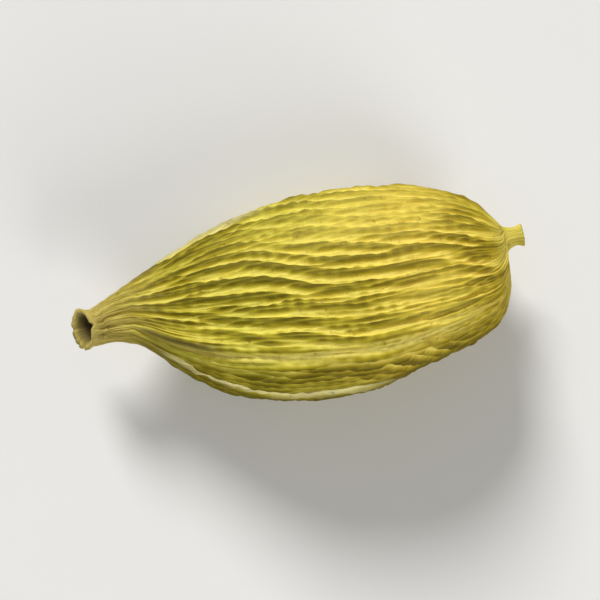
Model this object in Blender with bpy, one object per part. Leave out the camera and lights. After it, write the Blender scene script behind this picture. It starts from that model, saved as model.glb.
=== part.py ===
"""A dried green cardamom pod lying on its side, as one closed solid.

The pod lies along X: its beak, with the dried end of the flower tube, points to -X, and the
stub of its stalk to +X. Z is up, the flat spot that it rests on is at z = 0, and the origin
is under the middle of the pod. The husk is a loft of rings, blunt and three-sided at the belly
and round at both ends, with fine ribs raised along it by a sum of waves.
"""

from math import pi, radians, tau

import bmesh
import bpy
import numpy as np

MM = 0.001

# The husk's three sizes in millimetres, before its ribs and crests are raised, which add about
# 0.3 mm to its width.
POD_LENGTH = 17.4
POD_WIDTH = 7.74
POD_THICKNESS = 6.86
# How deep the flat spot is cut into the underside of the belly.
FLAT_DEPTH = 0.11
# Points this close to the flat spot's plane are moved onto it.
SNAP = 0.01

# The husk's outline from the rim of the flower tube to the end of the stalk stub. Each row
# gives the place along the pod as a share of its length, the upper and the lower side as
# shares of its width, the top and the underside as shares of its thickness, and how
# three-sided the ring is: 0 is round, 1 has the full ridges given below.
OUTLINE = (
    (0.000, 0.094, -0.114, 0.600, 0.352, 0.00),
    (0.024, 0.072, -0.096, 0.580, 0.376, 0.00),
    (0.080, 0.100, -0.096, 0.588, 0.368, 0.15),
    (0.140, 0.155, -0.128, 0.622, 0.322, 0.45),
    (0.172, 0.186, -0.186, 0.650, 0.286, 0.58),
    (0.234, 0.247, -0.324, 0.725, 0.208, 0.68),
    (0.336, 0.340, -0.482, 0.850, 0.100, 0.72),
    (0.460, 0.400, -0.564, 0.950, 0.014, 0.72),
    (0.603, 0.410, -0.577, 0.990, 0.000, 0.72),
    (0.753, 0.382, -0.512, 0.945, 0.032, 0.72),
    (0.856, 0.306, -0.444, 0.850, 0.094, 0.64),
    (0.916, 0.206, -0.372, 0.735, 0.184, 0.50),
    (0.948, 0.104, -0.235, 0.592, 0.290, 0.25),
    (0.962, 0.062, -0.062, 0.500, 0.362, 0.00),
    (0.985, 0.050, -0.040, 0.488, 0.380, 0.00),
    (1.000, 0.060, -0.052, 0.498, 0.370, 0.00),
)

# The belly's three ridges in a square from -1 to 1, side by height: one at the upper side,
# one on top, past the middle, and one low at the back. The power rounds them: more is sharper.
RIDGES = ((1.0, -0.76), (-0.62, 1.0), (-1.16, -0.62))
RIDGE_POWER = 4.6
# The ridges turn by this many degrees between two places along the pod, so that the top one
# nears the lower side towards the stalk.
RIDGE_TWIST = 7.0
TWIST_STRETCH = (6.0, 15.0)

# The flower tube's end: how far its slanted rim leans back, over what length the slant fades,
# the depth of its hollow and the hollow's width as a share of the tube's.
RIM_SLANT = 0.50
SLANT_LENGTH = 1.9
TUBE_DEPTH = 0.70
TUBE_BORE = 0.62
# Rings of that hollow, from its bottom to the lip: share of the bore and share of the depth.
HOLLOW_RINGS = ((0.55, 1.0), (0.85, 0.85), (1.0, 0.35), (1.08, 0.0))
# The stub's broken end: width of its raised middle as a share, and how far that stands out.
STUB_MIDDLE = (0.62, 0.03)

# Ribs: how many run round the belly and round both ends, their height from valley to crest,
# the share by which their spacing varies, how much they lean apart, in turns of the pattern for
# each millimetre along the pod, and how far they all drift round it, in turns of the pod for
# each millimetre. More gain gives steeper flanks, and more narrowing gives slimmer crests with
# wider valleys.
BELLY_RIBS = 33
END_RIBS = 16
RIB_HEIGHT = 0.22
RIB_SPREAD = 0.18
RIB_LEAN = 0.12
RIB_DRIFT = 0.008
RIB_GAIN = 1.4
RIB_NARROWING = 1.3
RIB_WAVES = 40
RIB_SEED = 11
# The ribs sway from side to side: share of a turn, millimetres for one sway, turns round.
RIB_SWAYS = ((0.005, 7.3, 1), (0.002, 3.1, -3))
# A place along the pod where something begins and is full, or begins to end and has ended.
BELLY_RIBS_RISE, BELLY_RIBS_END = (2.6, 5.4), (14.6, 16.4)
FULL_RIBS_RISE, FULL_RIBS_END = (1.2, 4.6), (15.2, 16.6)
RIM_SMOOTH, STUB_SMOOTH = (0.0, 0.5), (16.4, 16.9)
# The ribs' height at the beak and the base, and what is left of that on the stub.
END_RIB_SHARE, STUB_RIB_SHARE = 0.36, 0.25

# The slanting ribs below the top ridge, near the stalk: their number for a whole turn, how much
# their spacing and their lean vary, how far they drift round the pod in each millimetre, how strong
# they are beside the others, and the oval that they fill, as share of a turn and millimetres along.
COMB_RIBS = 12
COMB_SPREAD = 0.14
COMB_LEAN = 0.08
COMB_DRIFT = 0.074
COMB_STRENGTH = 1.0
COMB_CENTRE = (0.660, 12.2)
COMB_SIZE = (0.065, 2.0)
COMB_EDGE = (0.20, 1.60)

# Patches where the skin is stretched smooth: share of a turn, millimetres along, their half-widths
# in both, and the share of the ribs that they take away.
SMOOTH_PATCHES = ((0.29, 12.2, 0.09, 4.2, 0.6), (0.51, 13.8, 0.06, 1.7, 0.4))

# The plain crest along each ridge: its height, its half-width as a share of a turn, the depth of
# the groove on either side of it as a share of its height, and the share of the ribs that it
# smooths away.
CREST_HEIGHT = 0.14
CREST_WIDTH = 0.010
CREST_GROOVES = 0.9
CREST_SMOOTHS = 0.8

# Near the beak a fold is sunk beside the top ridge, and one strong vein makes the pod's lower edge.
# Each gives its place as a share of a turn, its half-width as such a share, its height, which is
# negative for the fold, and how far it bends up the pod's side for each millimetre from the bend's
# start towards the beak. The strip above the vein is smoother, with such a mark's height as the
# share of the ribs that it takes away.
FOLD, FOLD_RISE, FOLD_END = (0.560, 0.010, -0.24, 0.0), (2.2, 3.2), (4.9, 6.8)
SIDE_VEIN, VEIN_RISE, VEIN_END = (0.742, 0.012, 0.26, 0.030), (2.6, 3.8), (9.6, 12.4)
VEIN_SMOOTHS = (0.705, 0.055, 0.75, 0.030)
BEND_START = 7.0

# Soft swellings where the seeds press from inside, a few of them round the pod, and the share
# of the ribs that they stretch flat.
SWELL_HEIGHT = 0.05
SWELL_FLATTENS = 0.25
SWELLS_ROUND = 3.0
SWELL_SPREAD = 0.5
SWELL_LEAN = 0.12
SWELL_WAVES = 12
SWELL_SEED = 5
BODY_RISE, BODY_END = (1.4, 4.2), (14.0, 16.3)

# The grid of the husk: columns round it, the spacing of its rings on the belly and at the
# ends, how far from an end they are fully spaced, and the share by which they are closer together
# over the slanting ribs. A ring under the first girth keeps one column in four, and one under the
# second girth keeps one in two.
COLUMNS = 144
RING_STEP = 0.46
END_RING_STEP = 0.16
FINE_ENDS = 3.0
COMB_FINER = 0.28
FINER_RISE, FINER_END = (10.6, 11.6), (15.0, 15.8)
SMALL_GIRTHS = (7.0, 12.0)
# The ribs fade out over this height above the flat spot.
FLAT_MARGIN = 0.40

HUSK_COLOUR = (0.468, 0.366, 0.045, 1.0)
HUSK_ROUGHNESS = 0.62


def smooth_curve(knots, values, at):
    """A smooth curve through the values that never swings past them between two knots."""
    gaps = np.diff(knots)
    slopes = np.diff(values) / gaps
    both = slopes[:-1] * slopes[1:] > 0
    weight = 3 * (gaps[:-1] + gaps[1:])
    share = np.ones_like(slopes[:-1])
    first = (gaps[:-1] + 2 * gaps[1:])[both] / slopes[:-1][both]
    second = (2 * gaps[:-1] + gaps[1:])[both] / slopes[1:][both]
    share[both] = weight[both] / (first + second)
    tangents = np.concatenate([slopes[:1], np.where(both, share, 0.0), slopes[-1:]])
    cell = np.clip(np.searchsorted(knots, at, side="right") - 1, 0, len(gaps) - 1)
    t = (at - knots[cell]) / gaps[cell]
    rise = t * t * (3 - 2 * t)
    leave = t * (1 - t) ** 2 * gaps[cell] * tangents[cell]
    arrive = t * t * (1 - t) * gaps[cell] * tangents[cell + 1]
    return values[cell] * (1 - rise) + values[cell + 1] * rise + leave - arrive


def smooth_step(start, end, value):
    """0 before start, 1 after end, and a soft rise between them."""
    t = np.clip((value - start) / (end - start), 0.0, 1.0)
    return t * t * (3 - 2 * t)


def belly_section(around):
    """The belly's blunt three-sided ring in a square from -1 to 1, and its ridges' places."""
    corners = np.array(RIDGES)
    centre = corners.mean(axis=0)
    angles = np.linspace(0, tau, 1441) - pi / 2
    push = np.zeros_like(angles)
    for corner, following in zip(corners, np.roll(corners, -1, axis=0)):
        run = following - corner
        outward = np.array((run[1], -run[0])) / np.hypot(*run)
        if outward @ (corner - centre) < 0:
            outward = -outward
        distance = outward @ (corner - centre)
        facing = np.cos(angles) * outward[0] + np.sin(angles) * outward[1]
        push += np.maximum(0, facing / distance) ** RIDGE_POWER
    radius = push ** (-1 / RIDGE_POWER)
    ring = np.column_stack([radius * np.cos(angles), radius * np.sin(angles)])
    low, high = ring.min(axis=0), ring.max(axis=0)
    ring = (2 * ring - low - high) / (high - low)
    reach = np.concatenate([[0], np.cumsum(np.hypot(*np.diff(ring, axis=0).T))])
    reach /= reach[-1]
    ridges = [reach[np.argmax(ring @ (corner - centre))] for corner in corners]
    return np.stack([np.interp(around, reach, ring[:, i]) for i in (0, 1)]), ridges


def waves(around, along, crests, spread, lean, count, seed):
    """Waves of nearly one width added up: their crests run along the pod, part and join."""
    draw = np.random.default_rng(seed)
    total = np.zeros(np.broadcast(around, along).shape)
    for _ in range(count):
        across = round(crests * (1 + spread * draw.normal()))
        tilt = lean * draw.normal()
        total += np.cos(tau * (across * around + tilt * along + draw.random()))
    return total / np.sqrt(count / 2)


def between(rise, end, along):
    """1 from the end of the rise to the start of the end, and 0 outside both."""
    return smooth_step(*rise, along) * (1 - smooth_step(*end, along))


def rib_relief(around, along):
    """The height of the ribs, from -1 in a valley to 1 on a crest."""
    swayed = around - RIB_DRIFT * along
    for size, period, turns in RIB_SWAYS:
        swayed = swayed + size * np.sin(tau * (along / period + turns * around))
    belly = waves(swayed, along, BELLY_RIBS, RIB_SPREAD, RIB_LEAN, RIB_WAVES, RIB_SEED)
    ends = waves(swayed, along, END_RIBS, RIB_SPREAD, RIB_LEAN, RIB_WAVES, RIB_SEED + 1)
    middle = between(BELLY_RIBS_RISE, BELLY_RIBS_END, along)
    ribs = belly * middle + ends * (1 - middle)
    slanting = swayed - COMB_DRIFT * along
    comb = waves(slanting, along, COMB_RIBS, COMB_SPREAD, COMB_LEAN, RIB_WAVES, RIB_SEED + 2)
    across = (around - COMB_CENTRE[0]) / COMB_SIZE[0]
    onward = (along - COMB_CENTRE[1]) / COMB_SIZE[1]
    slanted = 1 - smooth_step(*COMB_EDGE, across**2 + onward**2)
    rounded = np.tanh(RIB_GAIN * (ribs * (1 - slanted) + COMB_STRENGTH * comb * slanted))
    return 2 * ((rounded + 1) / 2) ** RIB_NARROWING - 1


def rib_share(along):
    """How much of their full height the ribs keep, from the rim to the stub."""
    share = END_RIB_SHARE + (1 - END_RIB_SHARE) * between(FULL_RIBS_RISE, FULL_RIBS_END, along)
    on_stub = 1 - (1 - STUB_RIB_SHARE) * smooth_step(*STUB_SMOOTH, along)
    return share * smooth_step(*RIM_SMOOTH, along) * on_stub


def smooth_patches(around, along):
    """The share of the ribs that is left by the patches where the skin is stretched smooth."""
    left = 1.0
    for place, stop, width, length, taken in SMOOTH_PATCHES:
        away = ((around - place) / width) ** 2 + ((along - stop) / length) ** 2
        left = left * (1 - taken * np.exp(-away))
    return left


def ridge_lines(around, ridges, width):
    """1 along each of the ridges, fading to 0 past the given share of a turn on both sides."""
    lines = np.zeros_like(around)
    for ridge in ridges:
        apart = (around - ridge + 0.5) % 1 - 0.5
        lines += np.exp(-((apart / width) ** 2))
    return lines


def long_mark(around, along, mark, rise, end):
    """The height of one fold or vein that runs along the pod and bends near the beak."""
    place, width, height, bend = mark
    bent = around + bend * np.maximum(0.0, BEND_START - along)
    return height * ridge_lines(bent, [place], width) * between(rise, end, along)


def profile():
    """The outline in millimetres and the length of its surface line up to each of its rows."""
    height = POD_THICKNESS + FLAT_DEPTH
    outline = np.array(OUTLINE) * (POD_LENGTH, POD_WIDTH, POD_WIDTH, height, height, 1)
    radius = (outline[:, 1] - outline[:, 2] + outline[:, 3] - outline[:, 4]) / 4
    knots = np.concatenate([[0], np.cumsum(np.hypot(np.diff(outline[:, 0]), np.diff(radius)))])
    return outline, knots


def ring_stops(total, step, end_step):
    """Places for the rings along the profile, closer near both ends and over the slanting ribs."""
    stops = [0.0]
    while stops[-1] < total:
        inside = min(1.0, min(stops[-1], total - stops[-1]) / FINE_ENDS)
        finer = 1 - COMB_FINER * between(FINER_RISE, FINER_END, stops[-1])
        stops.append(stops[-1] + (end_step + (step - end_step) * inside) * finer)
    return np.array(stops) * total / stops[-1]


def filled(values):
    """The values of each ring stretched to reach from -1 to 1."""
    low, high = values.min(axis=1, keepdims=True), values.max(axis=1, keepdims=True)
    return (2 * values - low - high) / (high - low)


def husk_rings(columns, step, end_step):
    """The husk's rings as rows of points in millimetres, from the rim to the stub's end."""
    outline, knots = profile()
    stops = ring_stops(knots[-1], step, end_step)
    curves = [smooth_curve(knots, column, stops)[:, None] for column in outline.T]
    along, upper, lower, top, under, ridged = curves
    around = (np.arange(columns) / columns)[None, :]
    section, ridges = belly_section(around[0])
    aside = section[0] * ridged + np.sin(tau * around) * (1 - ridged)
    upward = section[1] * ridged - np.cos(tau * around) * (1 - ridged)
    turn = radians(RIDGE_TWIST) * smooth_step(*TWIST_STRETCH, along)
    side = filled(aside * np.cos(turn) - upward * np.sin(turn))
    height = filled(aside * np.sin(turn) + upward * np.cos(turn))
    lean = RIM_SLANT * (1 - smooth_step(0.0, SLANT_LENGTH, along)) * (1 + height)
    x = np.broadcast_to(along, side.shape) + lean
    y = (upper + lower) / 2 + side * (upper - lower) / 2
    z = (top + under) / 2 + height * (top - under) / 2 - FLAT_DEPTH
    rings = np.stack([x, y, z], axis=-1)
    across = np.roll(rings, -1, axis=1) - np.roll(rings, 1, axis=1)
    onward = np.gradient(rings, axis=0)
    outward = np.cross(onward, across)
    outward /= np.linalg.norm(outward, axis=-1, keepdims=True)
    body = between(BODY_RISE, BODY_END, along)
    line = ridge_lines(around, ridges, CREST_WIDTH) * body
    band = ridge_lines(around, ridges, 2 * CREST_WIDTH) * body
    crests = (1 + CREST_GROOVES) * line - CREST_GROOVES * band
    swells = waves(around, along, SWELLS_ROUND, SWELL_SPREAD, SWELL_LEAN, SWELL_WAVES, SWELL_SEED)
    ribs = rib_relief(around, along) * rib_share(along) * (1 - CREST_SMOOTHS * band)
    ribs = ribs * (1 - long_mark(around, along, VEIN_SMOOTHS, VEIN_RISE, VEIN_END))
    ribs = ribs * np.clip(1 - SWELL_FLATTENS * swells, 0.0, 1.0) * smooth_patches(around, along)
    lift = RIB_HEIGHT / 2 * ribs + CREST_HEIGHT * crests + SWELL_HEIGHT * swells * body
    lift = lift + long_mark(around, along, FOLD, FOLD_RISE, FOLD_END)
    lift = lift + long_mark(around, along, SIDE_VEIN, VEIN_RISE, VEIN_END)
    lift = lift * smooth_step(0.0, FLAT_MARGIN, rings[..., 2])
    return rings + outward * lift[..., None]


def tube_hollow(rim):
    """Rings from the bottom of the flower tube's hollow out to its rim."""
    centre = rim.mean(axis=0)
    rings = []
    for width, depth in HOLLOW_RINGS:
        inward = np.array((TUBE_DEPTH * depth, 0.0, 0.0))
        rings.append(centre + (rim - centre) * TUBE_BORE * width + inward)
    return rings


def stub_middle(last):
    """The small ring that closes the broken end of the stalk stub."""
    centre = last.mean(axis=0)
    width, outward = STUB_MIDDLE
    return centre + (last - centre) * width + np.array((outward, 0.0, 0.0))


def join_rings(bm, first, second):
    """Faces between two rings of one count, or of a count and its half."""
    count, other = len(first), len(second)
    if count == other:
        for i in range(count):
            j = (i + 1) % count
            bm.faces.new((first[i], second[i], second[j], first[j]))
        return
    flip = other > count
    fine, coarse = (second, first) if flip else (first, second)
    for i in range(len(coarse)):
        j = (i + 1) % len(coarse)
        a, b, c = fine[2 * i], fine[2 * i + 1], fine[(2 * i + 2) % len(fine)]
        for face in ((a, coarse[i], b), (b, coarse[i], coarse[j]), (b, coarse[j], c)):
            bm.faces.new(face[::-1] if flip else face)


def husk_mesh():
    """The whole closed husk with its flat spot cut."""
    rings = husk_rings(COLUMNS, RING_STEP, END_RING_STEP)
    middle = (rings.min(axis=(0, 1)) + rings.max(axis=(0, 1))) / 2 * (1, 1, 0)
    rows = [*tube_hollow(rings[0]), *rings, stub_middle(rings[-1])]
    bm = bmesh.new()
    loops = []
    for row in rows:
        girth = np.linalg.norm(np.diff(row, axis=0), axis=1).sum()
        skip = 2 ** sum(girth < limit for limit in SMALL_GIRTHS)
        loops.append([bm.verts.new(point) for point in (row[::skip] - middle) * MM])
    for first, second in zip(loops, loops[1:]):
        join_rings(bm, first, second)
    bm.faces.new(loops[0])
    bm.faces.new(loops[-1][::-1])
    geometry = bm.verts[:] + bm.edges[:] + bm.faces[:]
    bmesh.ops.bisect_plane(
        bm, geom=geometry, dist=SNAP * MM, plane_co=(0, 0, 0), plane_no=(0, 0, -1), clear_outer=True
    )
    for vert in bm.verts:
        if vert.co.z < SNAP * MM:
            vert.co.z = 0.0
    bmesh.ops.holes_fill(bm, edges=[edge for edge in bm.edges if edge.is_boundary])
    bmesh.ops.recalc_face_normals(bm, faces=bm.faces[:])
    mesh = bpy.data.meshes.new("cardamom_pod")
    bm.to_mesh(mesh)
    bm.free()
    return mesh


def husk_material():
    """Satin straw green, as a dried husk."""
    material = bpy.data.materials.new("dried_husk")
    material.use_nodes = True
    shader = material.node_tree.nodes["Principled BSDF"]
    shader.inputs["Base Color"].default_value = HUSK_COLOUR
    shader.inputs["Roughness"].default_value = HUSK_ROUGHNESS
    shader.inputs["Metallic"].default_value = 0.0
    return material


def build():
    for thing in list(bpy.data.objects):
        bpy.data.objects.remove(thing, do_unlink=True)
    mesh = husk_mesh()
    mesh.shade_smooth()
    mesh.materials.append(husk_material())
    bpy.context.scene.collection.objects.link(bpy.data.objects.new("cardamom_pod", mesh))


build()
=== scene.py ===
# %% [markdown]
# # A dried green cardamom pod
# The pod is one grown thing: a ribbed, papery husk, blunt and three-sided at the belly, drawn out
# to a beak that still carries the dried end of the flower tube, with the broken stub of its stalk
# at the other end. The solid model is loaded first. It fixes where the pod is and how big it is,
# and everything below is a finer skin in the same place.

from math import pi, radians, tau

import bpy
import numpy as np
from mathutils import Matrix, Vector


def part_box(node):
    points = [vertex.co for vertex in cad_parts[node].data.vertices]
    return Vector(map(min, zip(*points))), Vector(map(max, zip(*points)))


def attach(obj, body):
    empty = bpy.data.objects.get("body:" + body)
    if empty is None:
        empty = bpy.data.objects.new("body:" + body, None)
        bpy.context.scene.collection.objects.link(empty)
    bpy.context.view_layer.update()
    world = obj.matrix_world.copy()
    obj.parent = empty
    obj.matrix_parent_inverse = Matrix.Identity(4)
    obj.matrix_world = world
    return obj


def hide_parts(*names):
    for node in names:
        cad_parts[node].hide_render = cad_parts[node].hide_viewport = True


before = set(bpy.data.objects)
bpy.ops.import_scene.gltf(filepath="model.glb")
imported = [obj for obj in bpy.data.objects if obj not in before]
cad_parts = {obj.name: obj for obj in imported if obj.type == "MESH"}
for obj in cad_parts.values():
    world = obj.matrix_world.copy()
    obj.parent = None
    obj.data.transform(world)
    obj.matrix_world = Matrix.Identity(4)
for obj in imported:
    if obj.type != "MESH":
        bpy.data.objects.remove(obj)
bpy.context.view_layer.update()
MM = 0.001
node_low, node_high = (np.array(corner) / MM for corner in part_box("cardamom_pod"))
print("solid pod, mm:", np.round(node_high - node_low, 2))

# %% [markdown]
# ## Soft steps and smooth curves
# Nothing on a dried husk starts or stops sharply: ribs fade in on the beak and die away on the
# stub. A soft step gives that for one place, and two of them give a stretch. The husk's outline
# is a few listed points, and the curve through them must not swing past them, or the slim
# beak would bulge. A monotone cubic does that, and numpy works it out for all rings at once.


# %% Steps and curves
def smooth_step(start, end, value):
    """0 before start, 1 after end, and a soft rise between them."""
    t = np.clip((value - start) / (end - start), 0.0, 1.0)
    return t * t * (3 - 2 * t)


def between(rise, end, along):
    """1 from the end of the rise to the start of the end, and 0 outside both."""
    return smooth_step(*rise, along) * (1 - smooth_step(*end, along))


def smooth_curve(knots, values, at):
    """A smooth curve through the values that never swings past them between two knots."""
    gaps = np.diff(knots)
    slopes = np.diff(values) / gaps
    both = slopes[:-1] * slopes[1:] > 0
    weight = 3 * (gaps[:-1] + gaps[1:])
    share = np.ones_like(slopes[:-1])
    first = (gaps[:-1] + 2 * gaps[1:])[both] / slopes[:-1][both]
    second = (2 * gaps[:-1] + gaps[1:])[both] / slopes[1:][both]
    share[both] = weight[both] / (first + second)
    tangents = np.concatenate([slopes[:1], np.where(both, share, 0.0), slopes[-1:]])
    cell = np.clip(np.searchsorted(knots, at, side="right") - 1, 0, len(gaps) - 1)
    t = (at - knots[cell]) / gaps[cell]
    rise = t * t * (3 - 2 * t)
    leave = t * (1 - t) ** 2 * gaps[cell] * tangents[cell]
    arrive = t * t * (1 - t) * gaps[cell] * tangents[cell + 1]
    return values[cell] * (1 - rise) + values[cell + 1] * rise + leave - arrive


print("a step halfway up:", float(smooth_step(0.0, 2.0, 1.0)))

# %% [markdown]
# ## The outline
# A pod could be sculpted, or lathed and then squeezed. Its two sides, its top and its underside
# all differ, so it is lofted instead: each row below gives the place along the pod as a share of
# its length, the upper and lower side as shares of its width, the top and the underside as shares
# of its thickness, and how three-sided the ring is. The rows are the solid model's own, so the
# fine skin and the solid agree.

# %% Outline of the husk
POD_LENGTH, POD_WIDTH, POD_THICKNESS = 17.4, 7.74, 6.86
FLAT_DEPTH = 0.11
OUTLINE = (
    (0.000, 0.094, -0.114, 0.600, 0.352, 0.00),
    (0.024, 0.072, -0.096, 0.580, 0.376, 0.00),
    (0.080, 0.100, -0.096, 0.588, 0.368, 0.15),
    (0.140, 0.155, -0.128, 0.622, 0.322, 0.45),
    (0.172, 0.186, -0.186, 0.650, 0.286, 0.58),
    (0.234, 0.247, -0.324, 0.725, 0.208, 0.68),
    (0.336, 0.340, -0.482, 0.850, 0.100, 0.72),
    (0.460, 0.400, -0.564, 0.950, 0.014, 0.72),
    (0.603, 0.410, -0.577, 0.990, 0.000, 0.72),
    (0.753, 0.382, -0.512, 0.945, 0.032, 0.72),
    (0.856, 0.306, -0.444, 0.850, 0.094, 0.64),
    (0.916, 0.206, -0.372, 0.735, 0.184, 0.50),
    (0.948, 0.104, -0.235, 0.592, 0.290, 0.25),
    (0.962, 0.062, -0.062, 0.500, 0.362, 0.00),
    (0.985, 0.050, -0.040, 0.488, 0.380, 0.00),
    (1.000, 0.060, -0.052, 0.498, 0.370, 0.00),
)


def profile():
    """The outline in millimetres and the length of its surface line up to each of its rows."""
    height = POD_THICKNESS + FLAT_DEPTH
    outline = np.array(OUTLINE) * (POD_LENGTH, POD_WIDTH, POD_WIDTH, height, height, 1)
    radius = (outline[:, 1] - outline[:, 2] + outline[:, 3] - outline[:, 4]) / 4
    knots = np.concatenate([[0], np.cumsum(np.hypot(np.diff(outline[:, 0]), np.diff(radius)))])
    return outline, knots


def ring_stops(total, step, end_step, fine_ends):
    """Places for the rings along the profile, closer together near both ends."""
    stops = [0.0]
    while stops[-1] < total:
        inside = min(stops[-1], total - stops[-1])
        stops.append(stops[-1] + end_step + (step - end_step) * min(1.0, inside / fine_ends))
    return np.array(stops) * total / stops[-1]


outline, knots = profile()
print("surface line from rim to stub, mm:", round(float(knots[-1]), 2))

# %% [markdown]
# ## The three-sided ring
# A cardamom fruit has three chambers, so its husk has three blunt ridges with gently bowed sides
# between them. Three straight sides push a circle inwards, and a power sets how softly two of
# them meet. The ring is then spaced evenly by its own length, so that the ribs that follow the
# columns of the mesh are evenly spaced too.

# %% Section of the belly
RIDGES = ((1.0, -0.76), (-0.62, 1.0), (-1.16, -0.62))
RIDGE_POWER, SECTION_POINTS = 4.6, 1441


def belly_section(around):
    """The belly's blunt three-sided ring in a square from -1 to 1, and its ridges' places."""
    corners = np.array(RIDGES)
    centre = corners.mean(axis=0)
    angles = np.linspace(0, tau, SECTION_POINTS) - pi / 2
    push = np.zeros_like(angles)
    for corner, following in zip(corners, np.roll(corners, -1, axis=0)):
        run = following - corner
        outward = np.array((run[1], -run[0])) / np.hypot(*run)
        if outward @ (corner - centre) < 0:
            outward = -outward
        distance = outward @ (corner - centre)
        facing = np.cos(angles) * outward[0] + np.sin(angles) * outward[1]
        push += np.maximum(0, facing / distance) ** RIDGE_POWER
    radius = push ** (-1 / RIDGE_POWER)
    ring = np.column_stack([radius * np.cos(angles), radius * np.sin(angles)])
    low, high = ring.min(axis=0), ring.max(axis=0)
    ring = (2 * ring - low - high) / (high - low)
    reach = np.concatenate([[0], np.cumsum(np.hypot(*np.diff(ring, axis=0).T))])
    reach /= reach[-1]
    ridges = [reach[np.argmax(ring @ (corner - centre))] for corner in corners]
    return np.stack([np.interp(around, reach, ring[:, i]) for i in (0, 1)]), ridges


COLUMNS = 456
around = (np.arange(COLUMNS) / COLUMNS)[None, :]
section, ridges = belly_section(around[0])
print("ridges, as shares of a turn:", np.round(ridges, 3))

# %% [markdown]
# ## Ribs that part and join
# The husk dries onto strands that run from stalk to beak, which leaves long ribs about 0.7 mm
# apart. They wander, fork and merge. Ribs drawn one by one would look combed. Instead many waves
# of nearly the same width are added up, each with a slightly different count and lean: where they
# fall out of step, a rib forks or ends by itself. The draw has a fixed seed, so the pod is the
# same each time. The beak and the base are slim, so they have fewer ribs than the belly.


# %% Long ribs
def waves(around, along, crests, spread, lean, count, seed):
    """Waves of nearly one width added up: their crests run along the pod, part and join."""
    draw = np.random.default_rng(seed)
    total = np.zeros(np.broadcast(around, along).shape)
    for _ in range(count):
        across = round(crests * (1 + spread * draw.normal()))
        tilt = lean * draw.normal()
        total += np.cos(tau * (across * around + tilt * along + draw.random()))
    return total / np.sqrt(count / 2)


BELLY_RIBS, END_RIBS = 33, 16
RIB_HEIGHT, RIB_SPREAD, RIB_LEAN, RIB_DRIFT = 0.22, 0.18, 0.12, 0.008
RIB_WAVES, RIB_SEED = 40, 11
RIB_SWAYS = ((0.005, 7.3, 1), (0.002, 3.1, -3))
BELLY_RIBS_RISE, BELLY_RIBS_END = (2.6, 5.4), (14.6, 16.4)


def rib_flow(around, along):
    """The share of a turn that a strand holds to as it drifts and sways along the pod."""
    swayed = around - RIB_DRIFT * along
    for size, period, turns in RIB_SWAYS:
        swayed = swayed + size * np.sin(tau * (along / period + turns * around))
    return swayed


def long_ribs(swayed, along):
    """Ribs that run along the pod, many round the belly and fewer at both ends."""
    belly = waves(swayed, along, BELLY_RIBS, RIB_SPREAD, RIB_LEAN, RIB_WAVES, RIB_SEED)
    ends = waves(swayed, along, END_RIBS, RIB_SPREAD, RIB_LEAN, RIB_WAVES, RIB_SEED + 1)
    middle = between(BELLY_RIBS_RISE, BELLY_RIBS_END, along)
    return belly * middle + ends * (1 - middle)


print("ribs round the belly:", BELLY_RIBS)

# %% [markdown]
# ## Slanting ribs
# On one side near the stalk the skin shrank askew, and a patch of ribs slants across the long
# ones. They are waves of the same kind whose place drifts round the pod as it goes along. A soft
# oval mask fades them into the long ribs. A last curve rounds all crests and narrows them, since
# the valleys of a dried husk are wider than its crests.

# %% Slanting ribs
COMB_RIBS, COMB_SPREAD, COMB_LEAN, COMB_DRIFT, COMB_STRENGTH = 12, 0.14, 0.08, 0.074, 1.0
COMB_CENTRE, COMB_SIZE, COMB_EDGE = (0.660, 12.2), (0.065, 2.0), (0.20, 1.60)
RIB_GAIN, RIB_NARROWING = 1.4, 1.3


def slanted_share(around, along):
    """1 in the middle of the patch of slanting ribs, and 0 outside it."""
    across = (around - COMB_CENTRE[0]) / COMB_SIZE[0]
    onward = (along - COMB_CENTRE[1]) / COMB_SIZE[1]
    return 1 - smooth_step(*COMB_EDGE, across**2 + onward**2)


def rib_relief(around, along):
    """The height of the ribs, from -1 in a valley to 1 on a crest."""
    swayed = rib_flow(around, along)
    ribs = long_ribs(swayed, along)
    slanting = swayed - COMB_DRIFT * along
    comb = waves(slanting, along, COMB_RIBS, COMB_SPREAD, COMB_LEAN, RIB_WAVES, RIB_SEED + 2)
    slanted = slanted_share(around, along)
    rounded = np.tanh(RIB_GAIN * (ribs * (1 - slanted) + COMB_STRENGTH * comb * slanted))
    return 2 * ((rounded + 1) / 2) ** RIB_NARROWING - 1


print("middle of the slanting ribs, mm from the rim:", COMB_CENTRE[1])

# %% [markdown]
# ## Where the ribs are strong
# The ribs are full on the belly, shallow on the beak and the base, and nearly gone on the rim and
# the stub. On two patches the skin was stretched before it dried, so the ribs are flatter there.
# A patch is given by its place round the pod and along it, its width and length, and the share
# of the ribs that it takes.

# %% Strength of the ribs
FULL_RIBS_RISE, FULL_RIBS_END = (1.2, 4.6), (15.2, 16.6)
RIM_SMOOTH, STUB_SMOOTH = (0.0, 0.5), (16.4, 16.9)
END_RIB_SHARE, STUB_RIB_SHARE = 0.36, 0.25
SMOOTH_PATCHES = ((0.29, 12.2, 0.09, 4.2, 0.6), (0.51, 13.8, 0.06, 1.7, 0.4))


def rib_share(along):
    """How much of their full height the ribs keep, from the rim to the stub."""
    share = END_RIB_SHARE + (1 - END_RIB_SHARE) * between(FULL_RIBS_RISE, FULL_RIBS_END, along)
    on_stub = 1 - (1 - STUB_RIB_SHARE) * smooth_step(*STUB_SMOOTH, along)
    return share * smooth_step(*RIM_SMOOTH, along) * on_stub


def smooth_patches(around, along):
    """The share of the ribs that is left by the patches where the skin is stretched smooth."""
    left = 1.0
    for place, stop, width, length, taken in SMOOTH_PATCHES:
        away = ((around - place) / width) ** 2 + ((along - stop) / length) ** 2
        left = left * (1 - taken * np.exp(-away))
    return left


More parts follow.
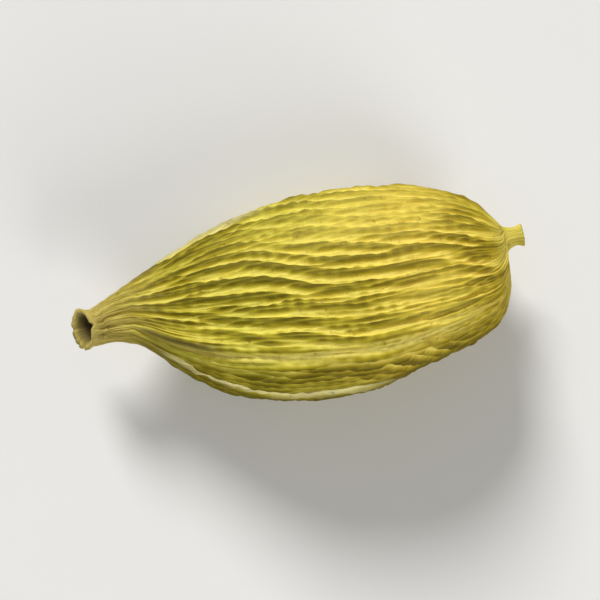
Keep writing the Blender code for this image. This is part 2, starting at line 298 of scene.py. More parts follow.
beak_belly_stub = RIB_HEIGHT * rib_share(np.array((1.0, 9.0, 17.0)))
print("rib height on beak, belly and stub, mm:", np.round(beak_belly_stub, 3))

# %% [markdown]
# ## Crests, a fold and a side vein
# Each ridge carries a plain, smooth crest, the thick vein of a chamber wall. Near the beak a short
# fold is sunk beside the top ridge, and a strong side vein makes the pod's lower edge. It bends up
# towards the beak, where the pod narrows, and the skin above it is smooth. A row below gives a
# line's place round the pod, its width, its height and how much it bends.

# %% Lines that run along the pod
CREST_HEIGHT, CREST_WIDTH, CREST_GROOVES, CREST_SMOOTHS = 0.14, 0.010, 0.9, 0.8
FOLD, FOLD_RISE, FOLD_END = (0.560, 0.010, -0.24, 0.0), (2.2, 3.2), (4.9, 6.8)
SIDE_VEIN, VEIN_RISE, VEIN_END = (0.742, 0.012, 0.26, 0.030), (2.6, 3.8), (9.6, 12.4)
VEIN_SMOOTHS = (0.705, 0.055, 0.75, 0.030)
BEND_START = 7.0


def ridge_lines(around, ridges, width):
    """1 along each of the ridges, fading to 0 past the given share of a turn on both sides."""
    lines = np.zeros_like(around)
    for ridge in ridges:
        apart = (around - ridge + 0.5) % 1 - 0.5
        lines += np.exp(-((apart / width) ** 2))
    return lines


def long_mark(around, along, mark, rise, end):
    """The height of one fold or vein that runs along the pod and bends near the beak."""
    place, width, height, bend = mark
    bent = around + bend * np.maximum(0.0, BEND_START - along)
    return height * ridge_lines(bent, [place], width) * between(rise, end, along)


print("height of the fold and the side vein, mm:", FOLD[2], SIDE_VEIN[2])

# %% [markdown]
# ## Plain rings
# The rings come first without any relief. They are flat slices across the pod, except near the
# flower tube, whose rim leans back at the top so that its dark hollow can be seen from above. The
# ridges turn by a few degrees on their way to the stalk, as a pod seldom grows quite straight.

# %% Rings of the smooth husk
RING_STEP, END_RING_STEP, FINE_ENDS = 0.107, 0.055, 2.0
RIM_SLANT, SLANT_LENGTH = 0.50, 1.9
RIDGE_TWIST, TWIST_STRETCH = radians(7.0), (6.0, 15.0)


def filled(values):
    """The values of each ring stretched to reach from -1 to 1."""
    low, high = values.min(axis=1, keepdims=True), values.max(axis=1, keepdims=True)
    return (2 * values - low - high) / (high - low)


def plain_rings(stops):
    """The husk's rings without relief, and the place of each along the pod."""
    along, upper, lower, top, under, ridged = (
        smooth_curve(knots, column, stops)[:, None] for column in outline.T
    )
    aside = section[0] * ridged + np.sin(tau * around) * (1 - ridged)
    upward = section[1] * ridged - np.cos(tau * around) * (1 - ridged)
    turn = RIDGE_TWIST * smooth_step(*TWIST_STRETCH, along)
    side = filled(aside * np.cos(turn) - upward * np.sin(turn))
    height = filled(aside * np.sin(turn) + upward * np.cos(turn))
    lean = RIM_SLANT * (1 - smooth_step(0.0, SLANT_LENGTH, along)) * (1 + height)
    x = np.broadcast_to(along, side.shape) + lean
    y = (upper + lower) / 2 + side * (upper - lower) / 2
    z = (top + under) / 2 + height * (top - under) / 2 - FLAT_DEPTH
    return np.stack([x, y, z], axis=-1), along


def outward_of(rings):
    """The direction out of the husk at each point of its rings."""
    across = np.roll(rings, -1, axis=1) - np.roll(rings, 1, axis=1)
    outward = np.cross(np.gradient(rings, axis=0), across)
    return outward / np.linalg.norm(outward, axis=-1, keepdims=True)


stops = ring_stops(knots[-1], RING_STEP, END_RING_STEP, FINE_ENDS)
rings, along = plain_rings(stops)
print("rings:", len(rings), "columns:", COLUMNS)

# %% [markdown]
# ## Coarse relief
# This is the relief that the solid has too. Ribs, crests, the fold and the side vein are added
# up with soft swells, where the seeds fill their chambers. Each crest has a shallow groove on
# either side, and the ribs are flatter beside a crest and where the skin is stretched by a swell.

# %% Add up the coarse relief
SWELL_HEIGHT, SWELLS_ROUND, SWELL_SPREAD, SWELL_LEAN = 0.05, 3.0, 0.5, 0.12
SWELL_WAVES, SWELL_SEED, SWELL_FLATTENS = 12, 5, 0.25
BODY_RISE, BODY_END = (1.4, 4.2), (14.0, 16.3)

body = between(BODY_RISE, BODY_END, along)
line = ridge_lines(around, ridges, CREST_WIDTH) * body
band = ridge_lines(around, ridges, 2 * CREST_WIDTH) * body
crests = (1 + CREST_GROOVES) * line - CREST_GROOVES * band
swells = waves(around, along, SWELLS_ROUND, SWELL_SPREAD, SWELL_LEAN, SWELL_WAVES, SWELL_SEED)
ribs = rib_relief(around, along) * (1 - CREST_SMOOTHS * band)
ribs = ribs * (1 - long_mark(around, along, VEIN_SMOOTHS, VEIN_RISE, VEIN_END))
ribs = ribs * np.clip(1 - SWELL_FLATTENS * swells, 0.0, 1.0) * smooth_patches(around, along)
share = rib_share(along)
fold = long_mark(around, along, FOLD, FOLD_RISE, FOLD_END)
vein = long_mark(around, along, SIDE_VEIN, VEIN_RISE, VEIN_END)
lift = RIB_HEIGHT / 2 * ribs * share + CREST_HEIGHT * crests + SWELL_HEIGHT * swells * body
lift = lift + fold + vein
print("coarse relief, mm:", round(float(lift.min()), 3), "to", round(float(lift.max()), 3))

# %% [markdown]
# ## Fine relief
# Three finer layers come on top, which the solid is too coarse for: creases between the ribs, the
# fine strands inside each rib, and short wrinkles across them, because the skin shrank along the
# pod too. Just above the flat spot all relief fades out. The rest is raised along the surface's
# own direction.

# %% Add the fine relief and raise the skin
CREASE_HEIGHT, CREASES_ROUND, CREASE_SPREAD, CREASE_LEAN = 0.030, 78, 0.25, 0.30
STRAND_HEIGHT, STRANDS_ROUND, STRAND_SPREAD, STRAND_LEAN = 0.014, 132, 0.16, 0.20
WRINKLE_HEIGHT, WRINKLE_GAP, WRINKLE_SPREAD, WRINKLES_ROUND = 0.011, 0.42, 0.40, 18
FINE_WAVES, CREASE_SEED, STRAND_SEED, WRINKLE_SEED = 48, 23, 31, 37
FLAT_MARGIN = 0.40


def cross_wrinkles(around, along):
    """Short wrinkles that run across the ribs, from about -2 to 2."""
    draw = np.random.default_rng(WRINKLE_SEED)
    total = np.zeros(np.broadcast(around, along).shape)
    for _ in range(FINE_WAVES):
        gap = WRINKLE_GAP * (1 + WRINKLE_SPREAD * draw.random())
        across = round(WRINKLES_ROUND * draw.normal())
        total += np.cos(tau * (across * around + along / gap + draw.random()))
    return total / np.sqrt(FINE_WAVES / 2)


creases = waves(around, along, CREASES_ROUND, CREASE_SPREAD, CREASE_LEAN, FINE_WAVES, CREASE_SEED)
strands = waves(around, along, STRANDS_ROUND, STRAND_SPREAD, STRAND_LEAN, FINE_WAVES, STRAND_SEED)
wrinkles = cross_wrinkles(around, along)
lift += (CREASE_HEIGHT * creases + STRAND_HEIGHT * strands + WRINKLE_HEIGHT * wrinkles) * share
lift *= smooth_step(0.0, FLAT_MARGIN, rings[..., 2])
skin = rings + outward_of(rings) * lift[..., None]
print("relief, mm:", round(float(lift.min()), 3), "to", round(float(lift.max()), 3))

# %% [markdown]
# ## The two ends
# At the beak the flower tube is a short, dry cup: its wall turns in over the rim and down to a
# floor, and the rim itself is a little torn. At the stalk the stub was torn from its stem, so its
# end is uneven. Both are more rings, drawn in towards a middle, and each is closed by one point.
# A row of the hollow's curve gives how much painted shade a ring takes, and its width and depth
# as shares of the bore and of the tube's depth. Tears are waves, given by their count, spread
# and lean.

# %% Rings of the hollow and of the torn stub
TUBE_DEPTH, TUBE_BORE = 0.70, 0.62
HOLLOW_CURVE = (
    (1.0, 0.30, 1.00),
    (1.0, 0.78, 0.93),
    (0.9, 0.96, 0.60),
    (0.6, 1.06, 0.20),
    (0.0, 1.30, 0.03),
)
STUB_RINGS, TORN_HEIGHT, STUB_TEARS, TORN_REACH, TORN_SEED = 7, 0.05, (8, 0.5, 0.4), 3, 41
TEAR_DEPTH, RIM_TEARS, TEAR_FADE, TEAR_SEED = 0.06, (9, 0.5, 0.0), (0.0, 0.35), 43


def tube_hollow(rim):
    """Rings from the floor of the flower tube's hollow out to its rim."""
    centre = rim.mean(axis=0)
    made = []
    for _, width, depth in HOLLOW_CURVE:
        inward = np.array((TUBE_DEPTH * depth, 0.0, 0.0))
        made.append(centre + (rim - centre) * TUBE_BORE * width + inward)
    return np.array(made), centre + np.array((TUBE_DEPTH, 0.0, 0.0))


def torn_stub(last):
    """Rings over the stub's broken end, raised and sunk as torn strands are."""
    centre = last.mean(axis=0)
    inwards = np.linspace(1.0, 0.0, STUB_RINGS + 1)[1:-1, None]
    tears = waves(around, TORN_REACH * inwards, *STUB_TEARS, FINE_WAVES, TORN_SEED)
    out = TORN_HEIGHT * (tears * inwards - inwards)
    made = centre + (last - centre)[None] * inwards[..., None]
    made[..., 0] += out
    return made, centre + np.array((-TORN_HEIGHT, 0.0, 0.0))


tears = TEAR_DEPTH * waves(around, 0.0, *RIM_TEARS, FINE_WAVES, TEAR_SEED)
skin[..., 0] += np.maximum(0, tears) * (1 - smooth_step(*TEAR_FADE, along))
hollow, hollow_floor = tube_hollow(skin[0])
torn, torn_middle = torn_stub(skin[-1])
print("hollow rings:", len(hollow), "torn rings:", len(torn))

# %% [markdown]
# ## One closed skin inside the solid's box
# All rings are stacked, centred as the solid is and laid on the same flat spot. A last step
# draws the skin in by a hair where a crest would leave the solid's box.


# %% Fit the skin to the solid
def fit_to_box(points):
    """The points inside the solid's box: centred, on the floor, and never wider than it."""
    low, high = points.min(axis=0), points.max(axis=0)
    shrink = np.minimum(1.0, (node_high - node_low)[:2] / (high - low)[:2])
    points[:, :2] = (points[:, :2] - (low + high)[:2] / 2) * shrink
    points[:, :2] += (node_high + node_low)[:2] / 2
    points[:, 2] = np.clip(points[:, 2], node_low[2], None)
    over = points[:, 2].max() - node_low[2]
    points[:, 2] *= min(1.0, (node_high[2] - node_low[2]) / over)
    return points, shrink


all_rings = np.concatenate([hollow, skin, torn])
points = np.concatenate([all_rings.reshape(-1, 3), [hollow_floor, torn_middle]])
points, shrink = fit_to_box(points)
print("drawn in to", np.round(shrink, 4), "of its own size")

# %% [markdown]
# ## Faces
# Neighbouring rings are joined by four-cornered faces and each end is closed by a fan round its
# middle point. The faces are worked out as whole arrays, because a loop over nearly a hundred
# thousand of them would be slow.


# %% Build the mesh
def ring_faces(rows):
    """Four-cornered faces between rows of points, facing out."""
    here = np.arange(rows * COLUMNS).reshape(rows, COLUMNS)
    right = np.roll(here, -1, axis=1)
    return np.stack([here[:-1], here[1:], right[1:], right[:-1]], axis=-1).reshape(-1, 4)


def fan_faces(ring_start, middle, flip=False):
    """Three-cornered faces from one ring to its middle point."""
    here = ring_start + np.arange(COLUMNS)
    right = ring_start + (np.arange(COLUMNS) + 1) % COLUMNS
    pair = (right, here) if flip else (here, right)
    return np.stack([*pair, np.full(COLUMNS, middle)], axis=-1)


def husk_mesh():
    """The skin as one closed mesh, shaded smooth."""
    rows = len(all_rings)
    count = rows * COLUMNS
    faces = ring_faces(rows).tolist() + fan_faces(0, count).tolist()
    faces += fan_faces(count - COLUMNS, count + 1, flip=True).tolist()
    mesh = bpy.data.meshes.new("husk_skin")
    mesh.from_pydata((points * MM).tolist(), [], faces)
    mesh.shade_smooth()
    return mesh


husk = bpy.data.objects.new("husk_skin", husk_mesh())
bpy.context.scene.collection.objects.link(husk)
print("faces:", len(husk.data.polygons))

# %% [markdown]
# ## What each point of the skin knows
# Colour on the husk follows its shape: crests are straw-coloured and valleys olive, partly the
# husk's own tone and partly painted highlight on the crests and painted shade in the valleys,
# and the smooth patches of stretched skin get a painted highlight. So each point stores such
# values and the material reads them. A picture wrapped round the pod would do it too, but stored
# values stay right when the shape changes. The rings of the hollow and of the torn stub take the
# value of the ring that they start from.


# %% Helpers to store values
def spread_rows(values):
    """Values for the husk's rings, carried on over the hollow's and the stub's rings."""
    full = np.broadcast_to(values, (len(skin), COLUMNS))
    first = np.repeat(full[:1], len(hollow), axis=0)
    last = np.repeat(full[-1:], len(torn), axis=0)
    return np.concatenate([first, full, last])


def store(name, rows, beak_cap=0.0, stub_cap=0.0):
    """Keeps one value for each point of the skin, and one for each closing point."""
    layer = husk.data.attributes.new(name, "FLOAT", "POINT")
    values = np.concatenate([rows.ravel(), (beak_cap, stub_cap)])
    layer.data.foreach_set("value", values.astype(np.float32))
    print(name, "mean", round(float(values.mean()), 3))


print("rings that take the rim's and the stub's values:", len(hollow), len(torn))

# %% [markdown]
# ### Height, lines and stretched skin
# The height of the ribs is stored together with the finer layers, whose creases add painted
# shade, and a little higher near the ridges, which makes the colour lighter there. Two outer
# edges, one on each side, get a painted highlight as pale lines. The fold's painted shadow and
# the painted highlight of the smooth patches have their own values.

# %% Store height, lines and stretched skin
MIDDLE_HEIGHT, RIB_SHADE, CREASE_SHADE, STRAND_SHADE, WRINKLE_SHADE = 0.5, 0.5, 0.14, 0.09, 0.05
RIDGE_LIGHTENING, RIDGE_LIGHTENING_WIDTH = 0.13, 0.055
EDGE_WIDTH, EDGE_RAISED, UPPER_EDGE_FADE, UPPER_EDGE_SHARE = 0.012, 0.028, (6.0, 9.5), 0.6
LOWER_EDGE = (0.753, 0.019, 1.0, 0.030)

shade = RIB_SHADE * ribs + CREASE_SHADE * creases + STRAND_SHADE * strands
shade = shade + WRINKLE_SHADE * wrinkles
# The colour is made a little lighter near the ridges.
lighter_near_ridges = RIDGE_LIGHTENING * ridge_lines(around, ridges, RIDGE_LIGHTENING_WIDTH) * body
# Rib height sets the colour: partly the husk's own tone, partly painted shade in valleys and
# creases and painted highlight on crests.
store("rib_height", np.clip(spread_rows(MIDDLE_HEIGHT + shade * share + lighter_near_ridges), 0, 1))
# Painted highlight: pale lines of colour along two outer edges.
upper_edge = ridge_lines(around, [ridges[0] + EDGE_RAISED], EDGE_WIDTH)
lower_edge = long_mark(around, along, LOWER_EDGE, VEIN_RISE, VEIN_END)
edges = UPPER_EDGE_SHARE * upper_edge * (1 - smooth_step(*UPPER_EDGE_FADE, along)) + lower_edge
# Painted highlight along each ridge crest.
store("ridge_line", spread_rows(crests))
store("edge_highlight", spread_rows(edges))
# Painted shadow in the fold.
store("fold_shadow", spread_rows(fold / FOLD[2]))
# Painted highlight on the smooth patches of stretched skin.
store("smooth_highlight", spread_rows((1 - smooth_patches(around, along)) * body))

# %% [markdown]
# ### Ends and strands
# The beak, the rim and the stub dry to straw, and the pod turns golden towards its stalk, so each
# point stores how near it is to either end and how much painted shade it takes in the hollow. It
# also keeps its place on the husk as if the pod were a straight cylinder, so that the finest
# strands can follow the ribs.

# %% Store ends and strands
HOLLOW_SHADE_SHARE = np.array([row[0] for row in HOLLOW_CURVE])
BEAK_PALE, STUB_PALE, GOLD_RISE = (0.2, 4.6), (15.9, 16.9), (6.0, 14.5)
STRAND_RADIUS = 3.5

store("beak_end", spread_rows(1 - smooth_step(*BEAK_PALE, along)), beak_cap=1.0)
store("stub_end", spread_rows(smooth_step(*STUB_PALE, along)), stub_cap=1.0)
store("stalk_side", spread_rows(smooth_step(*GOLD_RISE, along)), stub_cap=1.0)
# Painted shade in the hollow, ring by ring.
hollow_rows = np.zeros((len(all_rings), COLUMNS))
hollow_rows[: len(hollow)] = HOLLOW_SHADE_SHARE[:, None]
store("hollow_shade", hollow_rows, beak_cap=1.0)
flow = spread_rows(rib_flow(around, along))
stations = spread_rows(along)
girth = [STRAND_RADIUS * np.cos(tau * flow), STRAND_RADIUS * np.sin(tau * flow)]
places = np.stack([stations, *girth], axis=-1).reshape(-1, 3)
places = np.concatenate([places, [(0.0, 0.0, 0.0), (POD_LENGTH, 0.0, 0.0)]])
layer = husk.data.attributes.new("strand_place", "FLOAT_VECTOR", "POINT")
layer.data.foreach_set("vector", places.astype(np.float32).ravel())
print("values stored for", len(places), "points")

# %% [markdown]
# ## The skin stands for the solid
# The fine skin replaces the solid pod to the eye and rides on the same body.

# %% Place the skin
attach(husk, "root")
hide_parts("cardamom_pod")

# %% [markdown]
# ## Small helpers for shader nodes
# A shader is a tree of nodes. These few helpers add a node, mix two colours, do one step of
# arithmetic, stretch a range or add noise, so that each effect below reads as a short recipe.
# Each takes either a socket or a plain value.


# %% Helpers for shader nodes
def feed(tree, given, socket):
    """Links a socket to an input, or sets the input to a plain value."""
    if isinstance(given, bpy.types.NodeSocket):
        tree.links.new(given, socket)
    elif given is not None:
        socket.default_value = given


def add(tree, kind, inputs=None, **settings):
    """A new node with its settings, and its inputs by place or by name."""
    node = tree.nodes.new(kind)
    for key, value in settings.items():
        setattr(node, key, value)
    for place, given in (inputs or {}).items():
        feed(tree, given, node.inputs[place])
    return node


def mix(tree, factor, first, second, blend="MIX"):
    """Two colours mixed, or multiplied where the blend says so."""
    ends = {0: factor, 6: first, 7: second}
    return add(tree, "ShaderNodeMix", ends, data_type="RGBA", blend_type=blend).outputs[2]


def times(tree, first, second):
    """Two values multiplied."""
    return add(tree, "ShaderNodeMath", {0: first, 1: second}, operation="MULTIPLY").outputs[0]


def ranged(tree, value, low, high, out_low=0.0, out_high=1.0):
    """A value brought from one range to another, and held inside it."""
    ends = {0: value, 1: low, 2: high, 3: out_low, 4: out_high}
    return add(tree, "ShaderNodeMapRange", ends).outputs[0]


def noise(tree, place, scale, detail=3.0, roughness=0.55, distortion=0.0):
    """Soft noise at a place, from 0 to 1."""
    ends = {"Vector": place, "Scale": scale, "Detail": detail}
    ends.update({"Roughness": roughness, "Distortion": distortion})
    return add(tree, "ShaderNodeTexNoise", ends).outputs[0]


def new_group(name, inputs, outputs):
    """An empty shader node group with its named sockets and its two end nodes."""
    group = bpy.data.node_groups.new(name, "ShaderNodeTree")
    for label, kind, value in inputs:
        socket = group.interface.new_socket(label, in_out="INPUT", socket_type=kind)
        socket.default_value = value
    for label, kind in outputs:
        group.interface.new_socket(label, in_out="OUTPUT", socket_type=kind)
    given = group.nodes.new("NodeGroupInput").outputs
    return group, given, group.nodes.new("NodeGroupOutput").inputs


print("node helpers: feed, add, mix, times, ranged, noise, new_group")

# %% [markdown]
# ### Dry mottling
# A husk dries unevenly: soft patches of a few millimetres keep more green, and specks of a tenth
# of that turn brown. Two noises in the object's own space give both, and they stay put when the
# pod turns. The floor takes the same group far more weakly, because paper and plaster are never
# quite even either.

# %% Group: dry mottling
PATCH_EDGES, SPECK_EDGES, SPECK_DETAIL = (0.42, 0.62), (0.62, 0.74), 2.0


def mottling_group():
    """Tints a colour in broad patches and dots it with specks."""
    inputs = (
        ("Color", "NodeSocketColor", (0.5, 0.4, 0.1, 1)),
        ("Patch Tint", "NodeSocketColor", (0.8, 0.9, 0.7, 1)),
        ("Speck Color", "NodeSocketColor", (0.1, 0.06, 0.02, 1)),
        ("Patch Scale", "NodeSocketFloat", 350.0),
        ("Patch Amount", "NodeSocketFloat", 0.5),
        ("Speck Scale", "NodeSocketFloat", 3000.0),
        ("Speck Amount", "NodeSocketFloat", 0.5),
    )
    group, given, result = new_group("Dry mottling", inputs, (("Color", "NodeSocketColor"),))
    place = add(group, "ShaderNodeTexCoord").outputs["Object"]
    patches = ranged(group, noise(group, place, given["Patch Scale"]), *PATCH_EDGES)
    amount = times(group, patches, given["Patch Amount"])
    toned = mix(group, amount, given["Color"], given["Patch Tint"], blend="MULTIPLY")
    dotted = noise(group, place, given["Speck Scale"], detail=SPECK_DETAIL)
    specks = ranged(group, dotted, *SPECK_EDGES)
    dots = times(group, specks, given["Speck Amount"])
    feed(group, mix(group, dots, toned, given["Speck Color"]), result["Color"])
    return group


mottling = mottling_group()
print("group:", mottling.name)

# %% [markdown]
# ### Plant fibre
# Between the ribs the skin shows strands finer than the mesh. They are noise at the place that
# each point keeps on a straight cylinder, long along it and narrow across it, so they bend with
# the ribs. A little even grain lies over them. The height goes to a bump and, faintly, to the
# colour as painted shade and highlight on the strands, so that a strand is seen even where the
# light is flat.

# %% Group: plant fibre
STRAND_DISTORTION, GRAIN_DETAIL, GRAIN_ROUGHNESS = 0.3, 4.0, 0.65


def fibre_group():
    """A height for strands that run with the ribs, and for the grain of the skin over them."""
    inputs = (
        ("Place", "NodeSocketVector", (0.0, 0.0, 0.0)),
        ("Strand Scale", "NodeSocketFloat", 8.0),
        ("Stretch", "NodeSocketFloat", 0.07),
        ("Grain Scale", "NodeSocketFloat", 11.0),
        ("Grain Share", "NodeSocketFloat", 0.3),
    )
    group, given, result = new_group("Plant fibre", inputs, (("Height", "NodeSocketFloat"),))
    squeeze = add(group, "ShaderNodeCombineXYZ", {0: given["Stretch"], 1: 1.0, 2: 1.0}).outputs[0]
    ends = {0: given["Place"], 1: squeeze}
    drawn_out = add(group, "ShaderNodeVectorMath", ends, operation="MULTIPLY").outputs[0]
    strands = noise(group, drawn_out, given["Strand Scale"], distortion=STRAND_DISTORTION)
    grained = {"detail": GRAIN_DETAIL, "roughness": GRAIN_ROUGHNESS}
    grain = noise(group, given["Place"], given["Grain Scale"], **grained)
    ends = {0: given["Grain Share"], 2: strands, 3: grain}
    height = add(group, "ShaderNodeMix", ends, data_type="FLOAT").outputs[0]
    feed(group, height, result["Height"])
    return group


fibre = fibre_group()
print("group:", fibre.name)

# %% [markdown]
# ## The husk's colours
# A dried husk is olive in its valleys and straw yellow on its crests, partly its own tone and
# partly painted shade in the valleys and painted highlight on the crests. It is greener towards
# the beak and golden towards the stalk; the ridges and outer edges get painted highlights as pale
# lines, the smooth patches a painted highlight, and both ends are beige, as the flower tube and
# the stalk dry to straw. The fold gets a painted shadow and the hollow painted shade, both dark
# brown.
# The ranges and shares below say how much of a stored value each colour answers to.

# %% Husk colours
# Valley, flank and crest: partly the husk's own tone, partly painted shade and painted highlight.
VALLEY = (0.160, 0.122, 0.004, 1)
FLANK = (0.450, 0.350, 0.018, 1)
CREST = (0.860, 0.705, 0.135, 1)
# Painted highlight for the smooth patches.
SMOOTH_HIGHLIGHT = (0.820, 0.675, 0.115, 1)
# Painted highlight along the ridge crests.
RIDGE_HIGHLIGHT = (0.930, 0.780, 0.190, 1)
# Painted highlight along the outer edges.
EDGE_HIGHLIGHT = (0.970, 0.870, 0.430, 1)
# Painted shadow in the fold.
FOLD_SHADOW = (0.060, 0.040, 0.004, 1)
# Painted shade in the flower tube's hollow, dark brown.
HOLLOW_SHADE = (0.035, 0.016, 0.005, 1)
BEAK_STRAW = (0.545, 0.425, 0.125, 1)
STUB_STRAW = (0.740, 0.620, 0.110, 1)
GREEN_TINT = (0.880, 0.930, 0.800, 1)
GOLD_TINT = (1.000, 0.960, 0.900, 1)
BROWN_SPECK = (0.200, 0.110, 0.015, 1)
LOW_RANGE, HIGH_RANGE = (0.06, 0.44), (0.44, 0.86)
RIDGE_RANGE, EDGE_RANGE = (0.3, 0.9, 0.0, 0.85), (0.05, 1.0, 0.0, 0.85)
FOLD_RANGE = (0.2, 1.0, 0.0, 0.9)
SMOOTH_HIGHLIGHT_SHARE, BEAK_SHARE, STUB_SHARE = 0.9, 0.8, 0.9
HUSK_MOTTLING = {"Patch Tint": GREEN_TINT, "Patch Scale": 330.0, "Patch Amount": 0.6}
HUSK_MOTTLING.update({"Speck Color": BROWN_SPECK, "Speck Scale": 3200.0, "Speck Amount": 0.5})


def attribute(tree, name, low=0.0, high=1.0, out_low=0.0, out_high=1.0):
    """A value stored at each point of the skin, brought to a range."""
    value = add(tree, "ShaderNodeAttribute", attribute_name=name).outputs["Fac"]
    return ranged(tree, value, low, high, out_low, out_high)


def husk_colour(tree):
    """The husk's colour, painted highlights and shade too, from its rib height, ridges and ends.
    """
    # Valley to crest: partly the husk's own tone, partly painted shade and painted highlight.
    low = mix(tree, attribute(tree, "rib_height", *LOW_RANGE), VALLEY, FLANK)
    ribbed = mix(tree, attribute(tree, "rib_height", *HIGH_RANGE), low, CREST)
    # Painted highlight on the smooth patches.
    ribbed = mix(tree, attribute(tree, "smooth_highlight", out_high=SMOOTH_HIGHLIGHT_SHARE), ribbed, SMOOTH_HIGHLIGHT)
    toned = mix(tree, attribute(tree, "stalk_side", 0, 1, 1, 0), ribbed, GREEN_TINT, "MULTIPLY")
    toned = mix(tree, attribute(tree, "stalk_side"), toned, GOLD_TINT, "MULTIPLY")
    # Painted highlight along the ridge crests.
    ridged = mix(tree, attribute(tree, "ridge_line", *RIDGE_RANGE), toned, RIDGE_HIGHLIGHT)
    # Painted highlight along the outer edges.
    edged = mix(tree, attribute(tree, "edge_highlight", *EDGE_RANGE), ridged, EDGE_HIGHLIGHT)
    # Painted shadow in the fold.
    folded = mix(tree, attribute(tree, "fold_shadow", *FOLD_RANGE), edged, FOLD_SHADOW)
    beaked = mix(tree, attribute(tree, "beak_end", out_high=BEAK_SHARE), folded, BEAK_STRAW)
    stubbed = mix(tree, attribute(tree, "stub_end", out_high=STUB_SHARE), beaked, STUB_STRAW)
    mottled = add(tree, "ShaderNodeGroup", node_tree=mottling)
    for name, given in {"Color": stubbed, **HUSK_MOTTLING}.items():
        feed(tree, given, mottled.inputs[name])
    # Painted shade in the hollow.
    return mix(tree, attribute(tree, "hollow_shade"), mottled.outputs["Color"], HOLLOW_SHADE)


print("husk colours from valley to crest:", VALLEY[:3], FLANK[:3], CREST[:3])

# %% [markdown]
# ## The husk's finish
# The husk is satin where it is rubbed and matt in its valleys, and a little light goes into the
# dry skin and comes out softened. The strands are a fine bump and a faint painted shade and
# highlight in the colour.

# %% Husk material
FIBRE = {"Strand Scale": 8.0, "Stretch": 0.07, "Grain Scale": 11.0, "Grain Share": 0.3}
STRAND_RANGE, STRAND_TONES = (0.3, 0.7), (0.80, 1.18)
VALLEY_ROUGH, CREST_ROUGH = 0.78, 0.50
BUMP_STRENGTH, BUMP_DEPTH = 0.8, 0.00006
HUSK_SPECULAR, LIGHT_ENTERS = 0.15, 0.06
LIGHT_SPREADS, LIGHT_REACH = (1.0, 0.7, 0.2), 0.0004


def husk_material():
    """Satin straw-green husk."""
    material = bpy.data.materials.new("dried_husk")
    material.use_nodes = True
    tree = material.node_tree
    shader = tree.nodes["Principled BSDF"].inputs
    place = add(tree, "ShaderNodeAttribute", attribute_name="strand_place").outputs["Vector"]
    strands = add(tree, "ShaderNodeGroup", node_tree=fibre)
    for name, given in {"Place": place, **FIBRE}.items():
        feed(tree, given, strands.inputs[name])
    height = strands.outputs["Height"]
    # Painted shade and highlight on the strands, in the colour.
    tone = ranged(tree, height, *STRAND_RANGE, *STRAND_TONES)
    ends = {0: husk_colour(tree), "Scale": tone}
    toned = add(tree, "ShaderNodeVectorMath", ends, operation="SCALE")
    feed(tree, toned.outputs[0], shader["Base Color"])
    feed(tree, attribute(tree, "rib_height", 0, 1, VALLEY_ROUGH, CREST_ROUGH), shader["Roughness"])
    bump = add(tree, "ShaderNodeBump", {"Strength": BUMP_STRENGTH, "Distance": BUMP_DEPTH})
    feed(tree, height, bump.inputs["Height"])
    feed(tree, bump.outputs[0], shader["Normal"])
    shader["Specular IOR Level"].default_value = HUSK_SPECULAR
    shader["Subsurface Weight"].default_value = LIGHT_ENTERS
    shader["Subsurface Radius"].default_value = LIGHT_SPREADS
    shader["Subsurface Scale"].default_value = LIGHT_REACH
    return material


husk.data.materials.append(husk_material())
print("husk nodes:", len(husk.data.materials[0].node_tree.nodes))

# %% [markdown]
# ## Floor
# The pod lies on a plain pale floor, matt and so wide that its far edge is at most a faint line
# in low views. It is paper-like, with a barely seen mottling.

# %% Floor
FLOOR_SIZE, FLOOR_ROUGH = 3.0, 0.8
FLOOR_PALE = (0.80, 0.79, 0.77, 1)
FLOOR_MOTTLING = {"Color": FLOOR_PALE, "Patch Tint": (0.97, 0.97, 0.96, 1)}
FLOOR_MOTTLING.update({"Patch Scale": 90.0, "Patch Amount": 0.25, "Speck Amount": 0.0})


def pale_floor():
    """A wide pale floor under the pod."""
    half = FLOOR_SIZE / 2
    mesh = bpy.data.meshes.new("floor")
    corners = [(-half, -half, 0), (half, -half, 0), (half, half, 0), (-half, half, 0)]
    mesh.from_pydata(corners, [], [(0, 1, 2, 3)])
    material = bpy.data.materials.new("pale_floor")
    material.use_nodes = True
    tree = material.node_tree
    shader = tree.nodes["Principled BSDF"].inputs
    paper = add(tree, "ShaderNodeGroup", node_tree=mottling)
    for name, given in FLOOR_MOTTLING.items():
        feed(tree, given, paper.inputs[name])
    feed(tree, paper.outputs["Color"], shader["Base Color"])
    shader["Roughness"].default_value = FLOOR_ROUGH
    mesh.materials.append(material)
    floor = bpy.data.objects.new("floor", mesh)
    bpy.context.scene.collection.objects.link(floor)
    return floor


floor = pale_floor()
print("floor, m:", FLOOR_SIZE)

# %% [markdown]
# ## Light
# The photograph's light is soft and comes from the top of the picture, low enough to pick out
# the ribs. A lamp close by would light the floor in a hot spot, so both lamps are far ones with a
# wide, soft disc: a strong one from there, and a weak, wider one from the other side. An even
# pale sky keeps the shadow open. Where it shows beyond the floor it is nearly as pale as it.

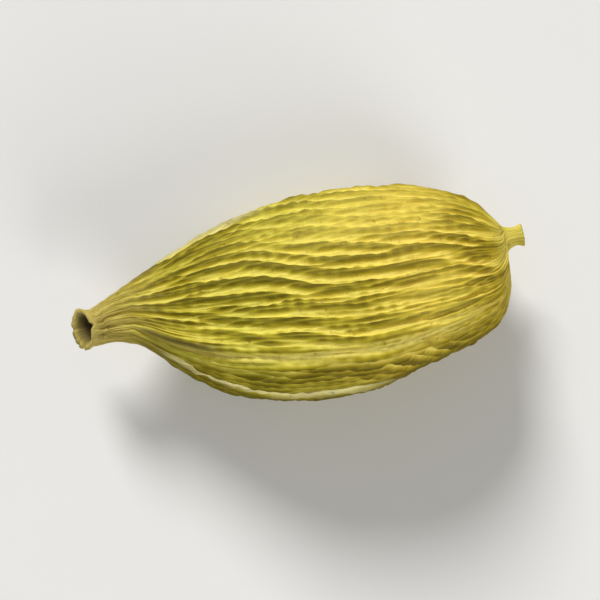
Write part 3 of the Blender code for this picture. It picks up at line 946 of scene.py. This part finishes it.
# %% Lamps and sky
KEY = dict(towards=(-0.03, 0.21, 0.145), strength=3.0, spread=radians(20.0))
FILL = dict(towards=(0.10, -0.22, 0.12), strength=1.40, spread=radians(30.0))
SKY_STRENGTH, SKY_SEEN = 0.28, 0.80


def lamp(name, towards, strength, spread):
    """A far, soft lamp that shines on the pod from a direction, as wide as the given angle."""
    data = bpy.data.lights.new(name, "SUN")
    data.angle = spread
    data.energy = strength
    thing = bpy.data.objects.new(name, data)
    thing.location = towards
    thing.rotation_euler = (-Vector(towards)).to_track_quat("-Z", "Y").to_euler()
    bpy.context.scene.collection.objects.link(thing)


def studio_sky():
    """An even white sky: a weak light, but nearly as pale as the floor to the camera."""
    sky = bpy.data.worlds.new("studio")
    sky.use_nodes = True
    background = sky.node_tree.nodes["Background"].inputs
    background["Color"].default_value = (1, 1, 1, 1)
    seen = add(sky.node_tree, "ShaderNodeLightPath").outputs["Is Camera Ray"]
    strength = ranged(sky.node_tree, seen, 0.0, 1.0, SKY_STRENGTH, SKY_SEEN)
    feed(sky.node_tree, strength, background["Strength"])
    return sky


lamp("key", **KEY)
lamp("fill", **FILL)
bpy.context.scene.world = studio_sky()
bpy.context.scene.view_settings.view_transform = "Standard"
print("lamps:", KEY["strength"], FILL["strength"], "W per square metre")

# %% [markdown]
# ## Camera
# The photograph looks straight down at the pod, whose beak points to the lower left. So the
# camera is turned a little about its own line of sight, and its long lens keeps the pod's shape
# flat and true. How much of the picture the pod fills sets the camera's height.

# %% Camera
CAMERA_ROLL = radians(11.8)
LENS, SENSOR = 90.0, 36.0
POD_SHARE, CLIP_START = 0.78, 0.005

camera_data = bpy.data.cameras.new("camera")
camera_data.lens = LENS
camera_data.sensor_width = SENSOR
camera_data.clip_start = CLIP_START
seen_width = POD_LENGTH * MM / POD_SHARE
camera = bpy.data.objects.new("camera", camera_data)
camera.location = (0.0, 0.0, POD_THICKNESS * MM / 2 + seen_width * LENS / SENSOR)
camera.rotation_euler = (0.0, 0.0, -CAMERA_ROLL)
bpy.context.scene.collection.objects.link(camera)
bpy.context.scene.camera = camera
print("camera height, m:", round(camera.location.z, 4))
